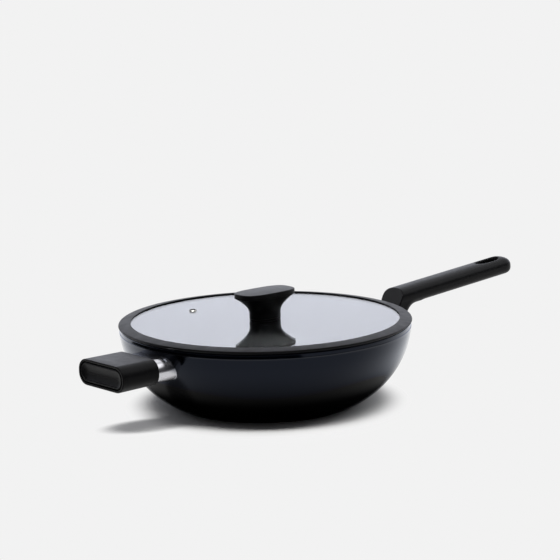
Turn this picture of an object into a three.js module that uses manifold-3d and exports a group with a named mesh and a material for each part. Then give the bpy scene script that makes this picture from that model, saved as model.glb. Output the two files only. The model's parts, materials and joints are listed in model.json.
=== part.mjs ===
// Wok with a glass lid, a long handle and a helper handle.
// Millimetres, +Z up. The origin is on the pan's axis, at the surface it stands on.
// The long handle points along +X and the helper handle along -X.
import * as THREE from 'three';
import { mergeVertices } from 'three/addons/utils/BufferGeometryUtils.js';
import Module from 'manifold-3d';

const wasm = await Module();
wasm.setup();

// Clearances
const FIT = 0.3;            // between pieces that touch or fit together
const RIM_CLEARANCE = 0.8;  // between the lid's skirt and the inside of the rim
const THREAD_GAP = 0.3;     // between a screw's shank and the thread it turns in
const TIP_GAP = 1;          // between a screw's tip and the end of its thread
const OVERSHOOT = 1;        // how far a cut starts or ends beyond a face

// Smoothness
const ROUND_SEGMENTS = 64;  // pan and lid
const BASE_SEGMENTS = 48;   // induction base
const OVAL_SEGMENTS = 28;   // knob and long handle
const SMALL_SEGMENTS = 20;  // screws, washers and holes
const ARC_STEPS = 3;        // steps in a rounded corner
const BEND_STEPS = 5;       // steps in the long handle's bends
const TIP_STEPS = 6;        // steps in the long handle's rounded end

// Pan shell
const FOOT_RADIUS = 90.4;     // outer edge of the flat bottom
const LEDGE_RADIUS = 143.6;   // widest part of the wall, at the small ledge
const LEDGE_HEIGHT = 74.6;
const LEDGE_WIDTH = 0.8;      // how far the rim band stands back above the ledge
const LEDGE_RISE = 0.5;
const RIM_BAND = 4.5;         // from the ledge to the top of the rim
const WALL_LEAN = THREE.MathUtils.degToRad(6.35); // from vertical, at the ledge
const WALL = 3;
const BOTTOM = 4;
const WALL_STEPS = 8;

// Induction base
const BASE_MARGIN = 8.4;      // from the disc to the edge of the flat bottom
const BASE_THICKNESS = 2.4;
const BASE_PROUD = 1.25;      // how far it stands below the shell
const BASE_EDGE = 0.6;
const BASE_GROOVES = 2;
const BASE_GROOVE_PITCH = 28;
const BASE_GROOVE_WIDTH = 1.6;
const BASE_GROOVE_DEPTH = 0.5;

// Sleeve and stub on the wall, shared by both handles
const FERRULE_WALL = 1.2;
const FERRULE_INSERT = 3;     // how far the sleeve enters the grip
const STUB_GAP = 2;           // between the stub and the inside of the sleeve
const TANG_ROUND = 2;

// Screws and washers
const SCREW_RADIUS = 2.3;
const SCREW_HEAD_RADIUS = 4.4;
const SCREW_HEAD_HEIGHT = 3;
const SCREW_HEAD_CHAMFER = 0.8;
const SCREW_SLOT_LENGTH = 5.4;
const SCREW_SLOT_WIDTH = 1.2;
const SCREW_SLOT_DEPTH = 1.1;
const WASHER_RADIUS = 5;
const WASHER_THICKNESS = 0.8;
const SCREW_HOLE_RADIUS = 2.9; // clearance hole in grips and washers
const COUNTERBORE_RADIUS = 5.6;

// Helper handle
const HELPER_DROP = 13.6;     // its axis below the ledge
const HELPER_STANDOFF = 15.2; // from the ledge's edge to the grip
const HELPER_LENGTH = 43.5;
const HELPER_WIDTH_INNER = 65.6;
const HELPER_WIDTH_OUTER = 68.6;
const HELPER_THICKNESS = 25;
const HELPER_CORNER = 9;
const HELPER_EDGE_INNER = 3;
const HELPER_EDGE_OUTER = 1.2;
const HELPER_FERRULE_WIDTH = 57;
const HELPER_FERRULE_HEIGHT = 22;
const HELPER_TANG_WIDTH = 30;
const HELPER_TANG_HEIGHT = 11;
const HELPER_TANG_LENGTH = 14; // inside the grip
const HELPER_THREAD_DEPTH = 12;
const HELPER_SCREW_WALL = 8;  // grip material between the tang and the screw's seat
const CAP_BORDER = 2.2;       // grip material round the end cap
const CAP_DEPTH = 3.5;        // depth of the cap's recess
const CAP_THICKNESS = 3;
const CAP_RIM = 1.8;          // raised border of the cap
const CAP_FIELD_DEPTH = 0.8;
const CAP_PLUG_LENGTH = 3;

// Long handle
const LONG_DROP = 15.6;       // its sleeve's axis below the ledge
const LONG_STANDOFF = 14.4;   // from the ledge's edge to the collar
const LONG_LENGTH = 193;
const LONG_WIDTH = 29;
const LONG_THICKNESS = 18.7;
const LONG_POWER = 2.7;       // squareness of its oval section
const LONG_RISE = THREE.MathUtils.degToRad(4.2);
const GRIP_LIFT = 17.15;      // grip's axis above the sleeve's, where its slope is carried down
                              // to the collar's front
const LONG_TIP = 13;          // length of the rounded end
const TIP_POWER = 2.5;        // squareness of the rounded end
const TIP_REACH = 0.98;       // share of the rounded end before its small flat
const COLLAR_THICKNESS = 23.5;
const NECK_THICKNESS = 16.5;
const NECK_EDGE = 7;          // rounding along the neck's sides
const NECK_HEEL = 10;         // radius under the neck
const NECK_BEND = 12;         // radius where the neck meets the grip
const NECK_RUNOUT = 24;       // length over which the neck fades into the grip
const NECK_INSET = 0.3;       // neck's side inside the grip's
const FACET_SETBACK = 7.86;   // from the collar's front to the facet, at the sleeve's axis
const FACET_LEAN = THREE.MathUtils.degToRad(62); // from horizontal
const LONG_FERRULE_WIDTH = 25;
const LONG_FERRULE_HEIGHT = 20;
const LONG_TANG_WIDTH = 16;
const LONG_TANG_HEIGHT = 9;
const LONG_TANG_LENGTH = 17;
const LONG_SCREW_SETBACK = 10; // screw axis behind the collar's front
const LONG_SCREW_WALL = 2.2;  // grip material between the tang and the screw's seat
const SLOT_LENGTH = 33;
const SLOT_WIDTH = 12;
const SLOT_POWER = 2.6;       // squareness of the slot's ends
const SLOT_MARGIN = 13;       // from the slot to the end of the grip
const SLOT_CHAMFER = 1.8;

// Lid
const LID_TURN = THREE.MathUtils.degToRad(-2); // how the lid is set down on the pan
const RING_OVERHANG = 0.9;    // beyond the ledge
const RING_FACE = 12.2;       // width of the ring's top
const RING_EDGE = 3.15;       // height of the ring's outer edge
const RING_CROWN = 1.55;      // rise of the ring's top towards the glass
const RING_ROUND = 1.4;
const RING_LIP_ROUND = 0.4;
const RING_LIP = 0.85;        // thickness of the lip over the glass
const RING_UNDER_LIP = 0.8;   // thickness of the lip under the glass
const RING_UNDER_REACH = 3.4; // how far the under lip grips the glass
const RING_WEB = 2;           // between the glass channel and the skirt's outside
const SKIRT_DEPTH = 4.8;
const SKIRT_FOOT = 1.6;
const GLASS_THICKNESS = 4;
const VENT_DISTANCE = 86.9;   // from the lid's centre
const VENT_ANGLE = THREE.MathUtils.degToRad(107.7);
const VENT_BORE = 1.7;
const VENT_WALL = 0.8;
const VENT_FLANGE = 4.1;
const VENT_FLANGE_THICKNESS = 0.6; // under the glass
const VENT_BEAD = 1.3;        // height of the rolled edge on the glass

// Knob
const KNOB_HEIGHT = 28.4;     // top of the knob above the glass
const KNOB_LENGTH = 64.6;
const KNOB_WIDTH = 34;
const KNOB_POWER = 3.1;       // squareness of the flange
const NECK_LENGTH = 34;
const NECK_WIDTH = 22;
const NECK_POWER = 2.3;       // squareness of the neck
const KNOB_NECK_TOP = 7;      // above the glass, where the flare starts
const KNOB_FLARE_PULL = 14.5; // above the glass, where the flare's curve is aimed
const KNOB_FLANGE_LOW = 23.5; // above the glass, underside of the flange's edge
const KNOB_EDGE = 1;
const KNOB_FLARE_STEPS = 8;
const GASKET_THICKNESS = 1;
const GASKET_INSET = 0.6;     // gasket inside the neck's outline
const INSERT_RADIUS = 5;
const INSERT_LENGTH = 14;
const INSERT_GROOVE_DEPTH = 0.8;
const INSERT_GROOVE_WIDTH = 1.4;
const KNOB_HOLE_RADIUS = 5;   // in the glass
const LOWER_GASKET_RADIUS = 12;
const LOWER_GASKET_THICKNESS = 1.5;
const KNOB_WASHER_RADIUS = 10;
const KNOB_WASHER_THICKNESS = 1.2;
const KNOB_SCREW_ENGAGED = 11; // length of thread inside the insert

// Colour and finish of each material
const FINISH = {
  lacquer: { color: 0x15171d, roughness: 0.28, metalness: 0.3 },
  steel: { color: 0xc4c5c8, roughness: 0.22, metalness: 1 },
  phenolic: { color: 0x1d1d1f, roughness: 0.5, metalness: 0 },
  silicone: { color: 0x232325, roughness: 0.6, metalness: 0 },
  glass: { color: 0xc9ccd4, roughness: 0.03, metalness: 0, transparent: true, opacity: 0.4 },
  aluminium: { color: 0x9a9b9e, roughness: 0.45, metalness: 1 },
  brass: { color: 0xb08d45, roughness: 0.35, metalness: 1 },
};

// Geometry helpers

function closed(geometry) {
  // Weld shared corners, drop collapsed faces and turn the faces outwards.
  const bare = geometry.clone();
  bare.deleteAttribute('normal');
  bare.deleteAttribute('uv');
  const welded = mergeVertices(bare, 1e-4);
  const corner = welded.attributes.position;
  const old = welded.index.array;
  const faces = [];
  let volume = 0;
  const [a, b, c] = [new THREE.Vector3(), new THREE.Vector3(), new THREE.Vector3()];
  for (let i = 0; i < old.length; i += 3) {
    const [p, q, r] = [old[i], old[i + 1], old[i + 2]];
    if (p === q || q === r || r === p) continue;
    faces.push(p, q, r);
    a.fromBufferAttribute(corner, p);
    b.fromBufferAttribute(corner, q);
    c.fromBufferAttribute(corner, r);
    volume += a.dot(b.cross(c));
  }
  welded.setIndex(volume < 0 ? faces.reverse() : faces);
  return welded;
}

function toSolid(geometry) {
  const ready = closed(geometry);
  const vertProperties = new Float32Array(ready.attributes.position.array);
  const triVerts = new Uint32Array(ready.index.array);
  return new wasm.Manifold(new wasm.Mesh({ numProp: 3, vertProperties, triVerts }));
}

function toGeometry(solid) {
  const mesh = solid.getMesh();
  const geometry = new THREE.BufferGeometry();
  geometry.setAttribute('position', new THREE.BufferAttribute(mesh.vertProperties, 3));
  geometry.setIndex(new THREE.BufferAttribute(mesh.triVerts, 1));
  return geometry;
}

function cut(body, ...tools) {
  return toGeometry(tools.reduce((left, tool) => left.subtract(toSolid(tool)), toSolid(body)));
}

function join(body, ...others) {
  return toGeometry(others.reduce((whole, other) => whole.add(toSolid(other)), toSolid(body)));
}

function revolve(profile, segments) {
  // Turn a list of [radius, height] points about Z.
  const points = profile.map(([radius, height]) => new THREE.Vector2(radius, height));
  return closed(new THREE.LatheGeometry(points, segments).rotateX(Math.PI / 2));
}

function ring(inner, outer, low, high, segments = SMALL_SEGMENTS) {
  return revolve([[inner, low], [outer, low], [outer, high], [inner, high], [inner, low]], segments);
}

function rod(radius, low, high, segments = SMALL_SEGMENTS) {
  return revolve([[0, low], [radius, low], [radius, high], [0, high]], segments);
}

function arc(centreX, centreY, radius, from, to, steps) {
  // Points of an arc, angles in radians, both ends included.
  return Array.from({ length: steps + 1 }, (_, i) => {
    const angle = from + ((to - from) * i) / steps;
    return [centreX + radius * Math.cos(angle), centreY + radius * Math.sin(angle)];
  });
}

function roundedRectangle(width, height, radius) {
  const [x, y] = [width / 2 - radius, height / 2 - radius];
  const quarter = Math.PI / 2;
  const shape = new THREE.Shape();
  shape.absarc(x, y, radius, 0, quarter);
  shape.absarc(-x, y, radius, quarter, 2 * quarter);
  shape.absarc(-x, -y, radius, 2 * quarter, 3 * quarter);
  shape.absarc(x, -y, radius, 3 * quarter, 4 * quarter);
  shape.closePath();
  return shape;
}

function oval(length, width, power, count) {
  // Points of a squared oval round the origin.
  const squared = (value) => Math.sign(value) * Math.abs(value) ** (2 / power);
  return Array.from({ length: count }, (_, i) => {
    const angle = (2 * Math.PI * i) / count;
    return [(length / 2) * squared(Math.cos(angle)), (width / 2) * squared(Math.sin(angle))];
  });
}

function alongX(shape, from, to) {
  // Extrude a shape drawn in (Y, Z) from one X to another.
  const geometry = new THREE.ExtrudeGeometry(shape, {
    depth: to - from, bevelEnabled: false, curveSegments: ARC_STEPS });
  const turn = new THREE.Matrix4().makeBasis(
    new THREE.Vector3(0, 1, 0), new THREE.Vector3(0, 0, 1), new THREE.Vector3(1, 0, 0));
  return geometry.applyMatrix4(turn).translate(from, 0, 0);
}

function acrossY(shape, width, edge = 0) {
  // Extrude a shape drawn in (X, Z) to both sides of the XZ plane, with rounded edges.
  const geometry = new THREE.ExtrudeGeometry(shape, {
    depth: width - 2 * edge, bevelEnabled: edge > 0, bevelThickness: edge, bevelSize: edge,
    bevelOffset: -edge, bevelSegments: ARC_STEPS, curveSegments: BEND_STEPS });
  const turn = new THREE.Matrix4().makeBasis(
    new THREE.Vector3(1, 0, 0), new THREE.Vector3(0, 0, 1), new THREE.Vector3(0, -1, 0));
  return geometry.applyMatrix4(turn).translate(0, width / 2 - edge, 0);
}

function filleted(corners) {
  // A closed outline through [x, y, radius] corners, each rounded by its radius.
  const shape = new THREE.Shape();
  corners.forEach(([x, y, radius], i) => {
    const corner = new THREE.Vector2(x, y);
    const before = new THREE.Vector2(...corners.at(i - 1)).sub(corner).normalize();
    const after = new THREE.Vector2(...corners[(i + 1) % corners.length]).sub(corner).normalize();
    const trim = radius / Math.tan(Math.acos(before.dot(after)) / 2);
    const start = corner.clone().addScaledVector(before, trim);
    const end = corner.clone().addScaledVector(after, trim);
    if (i === 0) shape.moveTo(start.x, start.y);
    else shape.lineTo(start.x, start.y);
    if (radius > 0) shape.quadraticCurveTo(x, y, end.x, end.y);
  });
  shape.closePath();
  return shape;
}

function loft(rings) {
  // Skin a row of closed rings with equal point counts, and close both ends with a fan.
  const count = rings[0].length;
  const position = rings.flat().flatMap((point) => point.toArray());
  const index = [];
  for (let level = 0; level + 1 < rings.length; level += 1) {
    for (let i = 0; i < count; i += 1) {
      const [a, b] = [level * count + i, level * count + ((i + 1) % count)];
      index.push(a, b, b + count, a, b + count, a + count);
    }
  }
  for (const [level, flip] of [[0, true], [rings.length - 1, false]]) {
    const centre = rings[level].reduce((sum, point) => sum.add(point), new THREE.Vector3());
    position.push(...centre.divideScalar(count).toArray());
    const middle = position.length / 3 - 1;
    for (let i = 0; i < count; i += 1) {
      const [a, b] = [level * count + i, level * count + ((i + 1) % count)];
      index.push(middle, flip ? b : a, flip ? a : b);
    }
  }
  const geometry = new THREE.BufferGeometry();
  geometry.setAttribute('position', new THREE.Float32BufferAttribute(position, 3));
  geometry.setIndex(index);
  return closed(geometry);
}

function piece(parent, name, geometry, finish) {
  const material = new THREE.MeshStandardMaterial({ ...FINISH[finish], flatShading: true });
  const mesh = new THREE.Mesh(closed(geometry), material);
  mesh.name = name;
  parent.add(mesh);
  return mesh;
}

// Screw along Z: the head's underside at z = 0, the shank pointing up.
function screw(length) {
  const blank = revolve([
    [0, -SCREW_HEAD_HEIGHT], [SCREW_HEAD_RADIUS - SCREW_HEAD_CHAMFER, -SCREW_HEAD_HEIGHT],
    [SCREW_HEAD_RADIUS, SCREW_HEAD_CHAMFER - SCREW_HEAD_HEIGHT], [SCREW_HEAD_RADIUS, 0], [SCREW_RADIUS, 0],
    [SCREW_RADIUS, length - SCREW_RADIUS / 2], [SCREW_RADIUS / 2, length], [0, length],
  ], SMALL_SEGMENTS);
  const slot = new THREE.BoxGeometry(SCREW_SLOT_LENGTH, SCREW_SLOT_WIDTH, 2 * SCREW_SLOT_DEPTH)
    .translate(0, 0, -SCREW_HEAD_HEIGHT);
  return cut(blank, slot, slot.clone().rotateZ(Math.PI / 2));
}

// Pan

// The wall's outer arc runs from the foot to the ledge and leans by WALL_LEAN at the ledge.
const wallSpanR = FOOT_RADIUS - LEDGE_RADIUS;
const wallSpanZ = BASE_PROUD - LEDGE_HEIGHT;
const wallRadius = -(wallSpanR ** 2 + wallSpanZ ** 2)
  / (2 * (wallSpanR * Math.cos(WALL_LEAN) - wallSpanZ * Math.sin(WALL_LEAN)));
const wallCentreR = LEDGE_RADIUS - wallRadius * Math.cos(WALL_LEAN);
const wallCentreZ = LEDGE_HEIGHT + wallRadius * Math.sin(WALL_LEAN);
const floorHeight = BASE_PROUD + BOTTOM;
const rimRadius = LEDGE_RADIUS - LEDGE_WIDTH;
const rimHeight = LEDGE_HEIGHT + RIM_BAND;
const baseRadius = FOOT_RADIUS - BASE_MARGIN;

function wallAngle(radius, height) {
  return Math.asin((height - wallCentreZ) / radius);
}

function wallArc(offset, low, high) {
  // Points up the wall, offset outwards from its outer face.
  const radius = wallRadius + offset;
  return arc(wallCentreR, wallCentreZ, radius, wallAngle(radius, low), wallAngle(radius, high), WALL_STEPS);
}

function wallAt(height, offset = 0) {
  const radius = wallRadius + offset;
  return wallCentreR + radius * Math.cos(wallAngle(radius, height));
}

function wokBody() {
  const recess = BASE_THICKNESS + FIT;
  const inside = wallArc(-WALL, floorHeight, rimHeight).reverse();
  const rimHalf = (rimRadius - inside[0][0]) / 2;
  const rimTop = arc(rimRadius - rimHalf, rimHeight - rimHalf, rimHalf, 0, Math.PI, ARC_STEPS);
  return revolve([
    [0, recess], [baseRadius + FIT, recess], [baseRadius + FIT, BASE_PROUD],
    ...wallArc(0, BASE_PROUD, LEDGE_HEIGHT),
    [rimRadius, LEDGE_HEIGHT + LEDGE_RISE],
    ...rimTop,
    ...inside.slice(1),
    [0, floorHeight],
  ], ROUND_SEGMENTS);
}

function inductionBase() {
  const underside = [];
  for (let i = 1; i <= BASE_GROOVES; i += 1) {
    const near = i * BASE_GROOVE_PITCH - BASE_GROOVE_WIDTH / 2;
    const far = near + BASE_GROOVE_WIDTH;
    underside.push([near, 0], [near, BASE_GROOVE_DEPTH], [far, BASE_GROOVE_DEPTH], [far, 0]);
  }
  return revolve([
    [0, 0], ...underside, [baseRadius - BASE_EDGE, 0], [baseRadius, BASE_EDGE],
    [baseRadius, BASE_THICKNESS], [0, BASE_THICKNESS],
  ], BASE_SEGMENTS);
}

// The pan's outside with a fitting gap, which shapes whatever seats on the wall.
function wallSeat() {
  return revolve([
    [0, 0], [FOOT_RADIUS, 0], ...wallArc(FIT, BASE_PROUD, LEDGE_HEIGHT), [0, LEDGE_HEIGHT],
  ], ROUND_SEGMENTS);
}

// Handles, drawn outwards along +X

function ferrule(width, height, axisHeight, gripStart) {
  const start = wallAt(axisHeight - height / 2) - width;
  const end = gripStart + FERRULE_INSERT;
  const round = height / 2;
  const sleeve = alongX(roundedRectangle(width, height, round), start, end);
  const bore = alongX(
    roundedRectangle(width - 2 * FERRULE_WALL, height - 2 * FERRULE_WALL, round - FERRULE_WALL),
    start - OVERSHOOT, end + OVERSHOOT);
  return cut(cut(sleeve, bore).translate(0, 0, axisHeight), wallSeat());
}

function stub(ferruleWidth, ferruleHeight, axisHeight, gripStart, tang, thread) {
  // A stub inside the sleeve, joined to the wall, and a tang that enters the grip.
  const inset = FERRULE_WALL + STUB_GAP;
  const start = wallAt(axisHeight - ferruleHeight / 2) - ferruleWidth;
  const section = roundedRectangle(
    ferruleWidth - 2 * inset, ferruleHeight - 2 * inset, ferruleHeight / 2 - inset);
  const block = alongX(section, start, gripStart - STUB_GAP);
  const tongue = alongX(
    roundedRectangle(tang.width, tang.height, TANG_ROUND), start, gripStart + tang.length);
  const blank = join(block, tongue).translate(0, 0, axisHeight);
  return cut(blank, wallSeat(), thread);
}

function gripSockets(ferruleWidth, ferruleHeight, axisHeight, gripStart, tang) {
  // Recess for the sleeve's end and pocket for the tang.
  const before = gripStart - OVERSHOOT;
  const sleeve = roundedRectangle(ferruleWidth + 2 * FIT, ferruleHeight + 2 * FIT, ferruleHeight / 2 + FIT);
  const pocket = roundedRectangle(tang.width + 2 * FIT, tang.height + 2 * FIT, TANG_ROUND + FIT);
  return join(
    alongX(sleeve, before, gripStart + FERRULE_INSERT + FIT),
    alongX(pocket, before, gripStart + tang.length + FIT),
  ).translate(0, 0, axisHeight);
}

// Helper handle

const helperHeight = LEDGE_HEIGHT - HELPER_DROP;
const helperStart = LEDGE_RADIUS + HELPER_STANDOFF;
const helperEnd = helperStart + HELPER_LENGTH;
const helperTang = { width: HELPER_TANG_WIDTH, height: HELPER_TANG_HEIGHT, length: HELPER_TANG_LENGTH };
const helperTangEnd = helperStart + HELPER_TANG_LENGTH;
const helperSeat = helperTangEnd + FIT + HELPER_SCREW_WALL;
const capFloor = helperEnd - CAP_DEPTH;
const helperHeadSeat = helperSeat + WASHER_THICKNESS + 2 * FIT;

function onHelperAxis(geometry, x) {
  // Lay a shape that stands along Z on the helper handle's axis, its top towards the pan.
  return geometry.rotateY(-Math.PI / 2).translate(x, 0, helperHeight);
}

function helperRing(x, inset) {
  const share = (x - helperStart) / (helperEnd - helperStart);
  const width = THREE.MathUtils.lerp(HELPER_WIDTH_INNER, HELPER_WIDTH_OUTER, share);
  const outline = roundedRectangle(width - 2 * inset, HELPER_THICKNESS - 2 * inset, HELPER_CORNER - inset);
  const points = outline.getPoints(ARC_STEPS).slice(0, -1);
  return points.map((point) => new THREE.Vector3(x, point.x, helperHeight + point.y));
}

function helperGrip() {
  const quarter = Math.PI / 2;
  const inner = arc(helperStart + HELPER_EDGE_INNER, HELPER_EDGE_INNER, HELPER_EDGE_INNER,
    2 * quarter, 3 * quarter, ARC_STEPS);
  const outer = arc(helperEnd - HELPER_EDGE_OUTER, HELPER_EDGE_OUTER, HELPER_EDGE_OUTER,
    -quarter, 0, ARC_STEPS);
  const block = loft([...inner, ...outer].map(([x, inset]) => helperRing(x, inset)));
  const recess = roundedRectangle(
    HELPER_WIDTH_OUTER - 2 * CAP_BORDER, HELPER_THICKNESS - 2 * CAP_BORDER, HELPER_CORNER - CAP_BORDER);
  return cut(
    block,
    gripSockets(HELPER_FERRULE_WIDTH, HELPER_FERRULE_HEIGHT, helperHeight, helperStart, helperTang),
    onHelperAxis(rod(SCREW_HOLE_RADIUS, 0, HELPER_SCREW_WALL + 2 * OVERSHOOT), helperSeat + OVERSHOOT),
    onHelperAxis(rod(COUNTERBORE_RADIUS, 0, helperEnd + OVERSHOOT - helperSeat), helperEnd + OVERSHOOT),
    alongX(recess, capFloor, helperEnd + OVERSHOOT).translate(0, 0, helperHeight),
  );
}

function helperEndCap() {
  const inset = CAP_BORDER + FIT;
  const [width, height] = [HELPER_WIDTH_OUTER - 2 * inset, HELPER_THICKNESS - 2 * inset];
  const [low, high] = [capFloor + FIT, capFloor + FIT + CAP_THICKNESS];
  const plate = alongX(roundedRectangle(width, height, HELPER_CORNER - inset), low, high);
  const field = alongX(
    roundedRectangle(width - 2 * CAP_RIM, height - 2 * CAP_RIM, HELPER_CORNER - inset - CAP_RIM),
    high - CAP_FIELD_DEPTH, high + OVERSHOOT);
  const plug = rod(COUNTERBORE_RADIUS - FIT, 0, CAP_PLUG_LENGTH + OVERSHOOT)
    .rotateY(-Math.PI / 2).translate(low + OVERSHOOT, 0, 0);
  return cut(join(plate, plug), field).translate(0, 0, helperHeight);
}

function helperHandle() {
  const group = new THREE.Group();
  const thread = onHelperAxis(
    rod(SCREW_RADIUS + THREAD_GAP, 0, HELPER_THREAD_DEPTH + OVERSHOOT), helperTangEnd + OVERSHOOT);
  const shank = helperHeadSeat - helperTangEnd + HELPER_THREAD_DEPTH - TIP_GAP;
  piece(group, 'helper_handle_boss', stub(HELPER_FERRULE_WIDTH, HELPER_FERRULE_HEIGHT, helperHeight,
    helperStart, helperTang, thread), 'aluminium');
  piece(group, 'helper_handle_ferrule', ferrule(HELPER_FERRULE_WIDTH, HELPER_FERRULE_HEIGHT,
    helperHeight, helperStart), 'steel');
  piece(group, 'helper_handle_grip', helperGrip(), 'phenolic');
  const washer = ring(SCREW_HOLE_RADIUS, WASHER_RADIUS, 0, WASHER_THICKNESS);
  piece(group, 'helper_handle_washer', onHelperAxis(washer, helperSeat + FIT + WASHER_THICKNESS), 'steel');
  piece(group, 'helper_handle_screw', onHelperAxis(screw(shank), helperHeadSeat), 'steel');
  piece(group, 'helper_handle_end_cap', helperEndCap(), 'phenolic');
  group.rotation.z = Math.PI;
  return group;
}

// Long handle

const longHeight = LEDGE_HEIGHT - LONG_DROP;
const longStart = LEDGE_RADIUS + LONG_STANDOFF;
const longEnd = longStart + LONG_LENGTH;
const longTang = { width: LONG_TANG_WIDTH, height: LONG_TANG_HEIGHT, length: LONG_TANG_LENGTH };
const longScrewX = longStart + LONG_SCREW_SETBACK;
const collarBottom = longHeight - COLLAR_THICKNESS / 2;
const longSeat = longHeight - LONG_TANG_HEIGHT / 2 - FIT - LONG_SCREW_WALL;

function longAxis(x) {
  return new THREE.Vector3(x, 0, longHeight + GRIP_LIFT + (x - longStart) * Math.tan(LONG_RISE));
}

function facetAt(height) {
  return longStart + FACET_SETBACK + (height - longHeight) / Math.tan(FACET_LEAN);
}

function longRing(x, width, thickness) {
  const centre = longAxis(x);
  const up = new THREE.Vector3(-Math.sin(LONG_RISE), 0, Math.cos(LONG_RISE));
  return oval(width, thickness, LONG_POWER, OVAL_SEGMENTS).map(([across, rise]) =>
    centre.clone().add(new THREE.Vector3(0, across, 0)).addScaledVector(up, rise));
}

function neck() {
  // The steep neck, drawn from the side. Its front runs past the facet, which is cut flat
  // afterwards, and its top lies inside the grip.
  const slope = Math.tan(LONG_RISE);
  const steep = Math.tan(FACET_LEAN);
  const under = LONG_THICKNESS / 2 / Math.cos(LONG_RISE);
  const heelX = facetAt(collarBottom) + NECK_THICKNESS / Math.sin(FACET_LEAN);
  const bendX = (steep * heelX - collarBottom + longAxis(0).z - under) / (steep - slope);
  const bendZ = longAxis(bendX).z - under;
  const fadeX = bendX + NECK_BEND + NECK_RUNOUT;
  const ahead = 2 * NECK_EDGE / Math.sin(FACET_LEAN);
  const topX = facetAt(longHeight + GRIP_LIFT) - ahead;
  const outline = filleted([
    [facetAt(collarBottom) - ahead, collarBottom, 0],
    [heelX, collarBottom, NECK_HEEL],
    [bendX, bendZ, NECK_BEND],
    [bendX + NECK_BEND, bendZ + NECK_BEND * slope, 0],
    [fadeX, longAxis(fadeX).z - NECK_EDGE, 0],
    [fadeX, longAxis(fadeX).z + NECK_EDGE, 0],
    [topX, longAxis(topX).z + NECK_EDGE, 0],
  ]);
  return acrossY(outline, LONG_WIDTH - 2 * NECK_INSET, NECK_EDGE);
}

function collar() {
  // The square front that takes the sleeve's end. It ends just inside the neck.
  const [width, height] = [LONG_WIDTH - 4 * NECK_INSET, COLLAR_THICKNESS - 2 * NECK_INSET];
  const end = facetAt(longHeight + height / 2) + 2 * NECK_INSET;
  return alongX(roundedRectangle(width, height, NECK_EDGE), longStart, end).translate(0, 0, longHeight);
}

function gripLoft() {
  // The straight grip, from in front of the facet to its rounded end.
  const straight = [facetAt(longHeight + GRIP_LIFT) - LONG_THICKNESS / 2, longEnd - LONG_TIP];
  const rings = straight.map((x) => longRing(x, LONG_WIDTH, LONG_THICKNESS));
  for (let i = 1; i <= TIP_STEPS; i += 1) {
    const share = Math.sin((i / TIP_STEPS) * (Math.PI / 2) * TIP_REACH);
    const left = (1 - share ** TIP_POWER) ** (1 / TIP_POWER);
    rings.push(longRing(longEnd - LONG_TIP + LONG_TIP * share, LONG_WIDTH * left, LONG_THICKNESS * left));
  }
  return loft(rings);
}

function facetCutter() {
  // Everything in front of the facet.
  const low = collarBottom - LONG_THICKNESS;
  const high = longHeight + GRIP_LIFT + 2 * LONG_THICKNESS;
  const far = longStart - 2 * LONG_WIDTH;
  const outline = filleted([
    [far, low, 0], [facetAt(low), low, 0], [facetAt(high), high, 0], [far, high, 0]]);
  return acrossY(outline, 2 * LONG_WIDTH);
}

function hangingSlot() {
  // A slot square to the grip's axis, opened out by a chamfer on both faces.
  const high = LONG_THICKNESS;
  const half = LONG_THICKNESS / 2;
  const ring = (rise, widen) =>
    oval(SLOT_LENGTH + 2 * widen, SLOT_WIDTH + 2 * widen, SLOT_POWER, OVAL_SEGMENTS)
      .map(([x, y]) => new THREE.Vector3(x, y, rise));
  const flare = SLOT_CHAMFER + high - half;
  const slot = loft([
    ring(-high, flare), ring(SLOT_CHAMFER - half, 0), ring(half - SLOT_CHAMFER, 0), ring(high, flare)]);
  const centre = longAxis(longEnd - SLOT_MARGIN - SLOT_LENGTH / 2);
  return slot.rotateY(-LONG_RISE).translate(centre.x, 0, centre.z);
}

function longGrip() {
  const screwHole = rod(SCREW_HOLE_RADIUS, collarBottom, longHeight).translate(longScrewX, 0, 0);
  const counterbore = rod(COUNTERBORE_RADIUS, collarBottom - LONG_THICKNESS, longSeat)
    .translate(longScrewX, 0, 0);
  return cut(
    join(cut(join(gripLoft(), neck()), facetCutter()), collar()),
    gripSockets(LONG_FERRULE_WIDTH, LONG_FERRULE_HEIGHT, longHeight, longStart, longTang),
    screwHole,
    counterbore,
    hangingSlot(),
  );
}

function longHandle() {
  const group = new THREE.Group();
  const thread = rod(SCREW_RADIUS + THREAD_GAP, collarBottom, longHeight + LONG_TANG_HEIGHT)
    .translate(longScrewX, 0, 0);
  const headSeat = longSeat - WASHER_THICKNESS - 2 * FIT;
  const shank = longHeight + LONG_TANG_HEIGHT / 2 - TIP_GAP - headSeat;
  piece(group, 'long_handle_boss', stub(LONG_FERRULE_WIDTH, LONG_FERRULE_HEIGHT, longHeight,
    longStart, longTang, thread), 'aluminium');
  piece(group, 'long_handle_ferrule', ferrule(LONG_FERRULE_WIDTH, LONG_FERRULE_HEIGHT,
    longHeight, longStart), 'steel');
  piece(group, 'long_handle_grip', longGrip(), 'phenolic');
  piece(group, 'long_handle_washer', ring(SCREW_HOLE_RADIUS, WASHER_RADIUS,
    longSeat - FIT - WASHER_THICKNESS, longSeat - FIT).translate(longScrewX, 0, 0), 'steel');
  piece(group, 'long_handle_screw', screw(shank).translate(longScrewX, 0, headSeat), 'steel');
  return group;
}

// Lid

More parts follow.
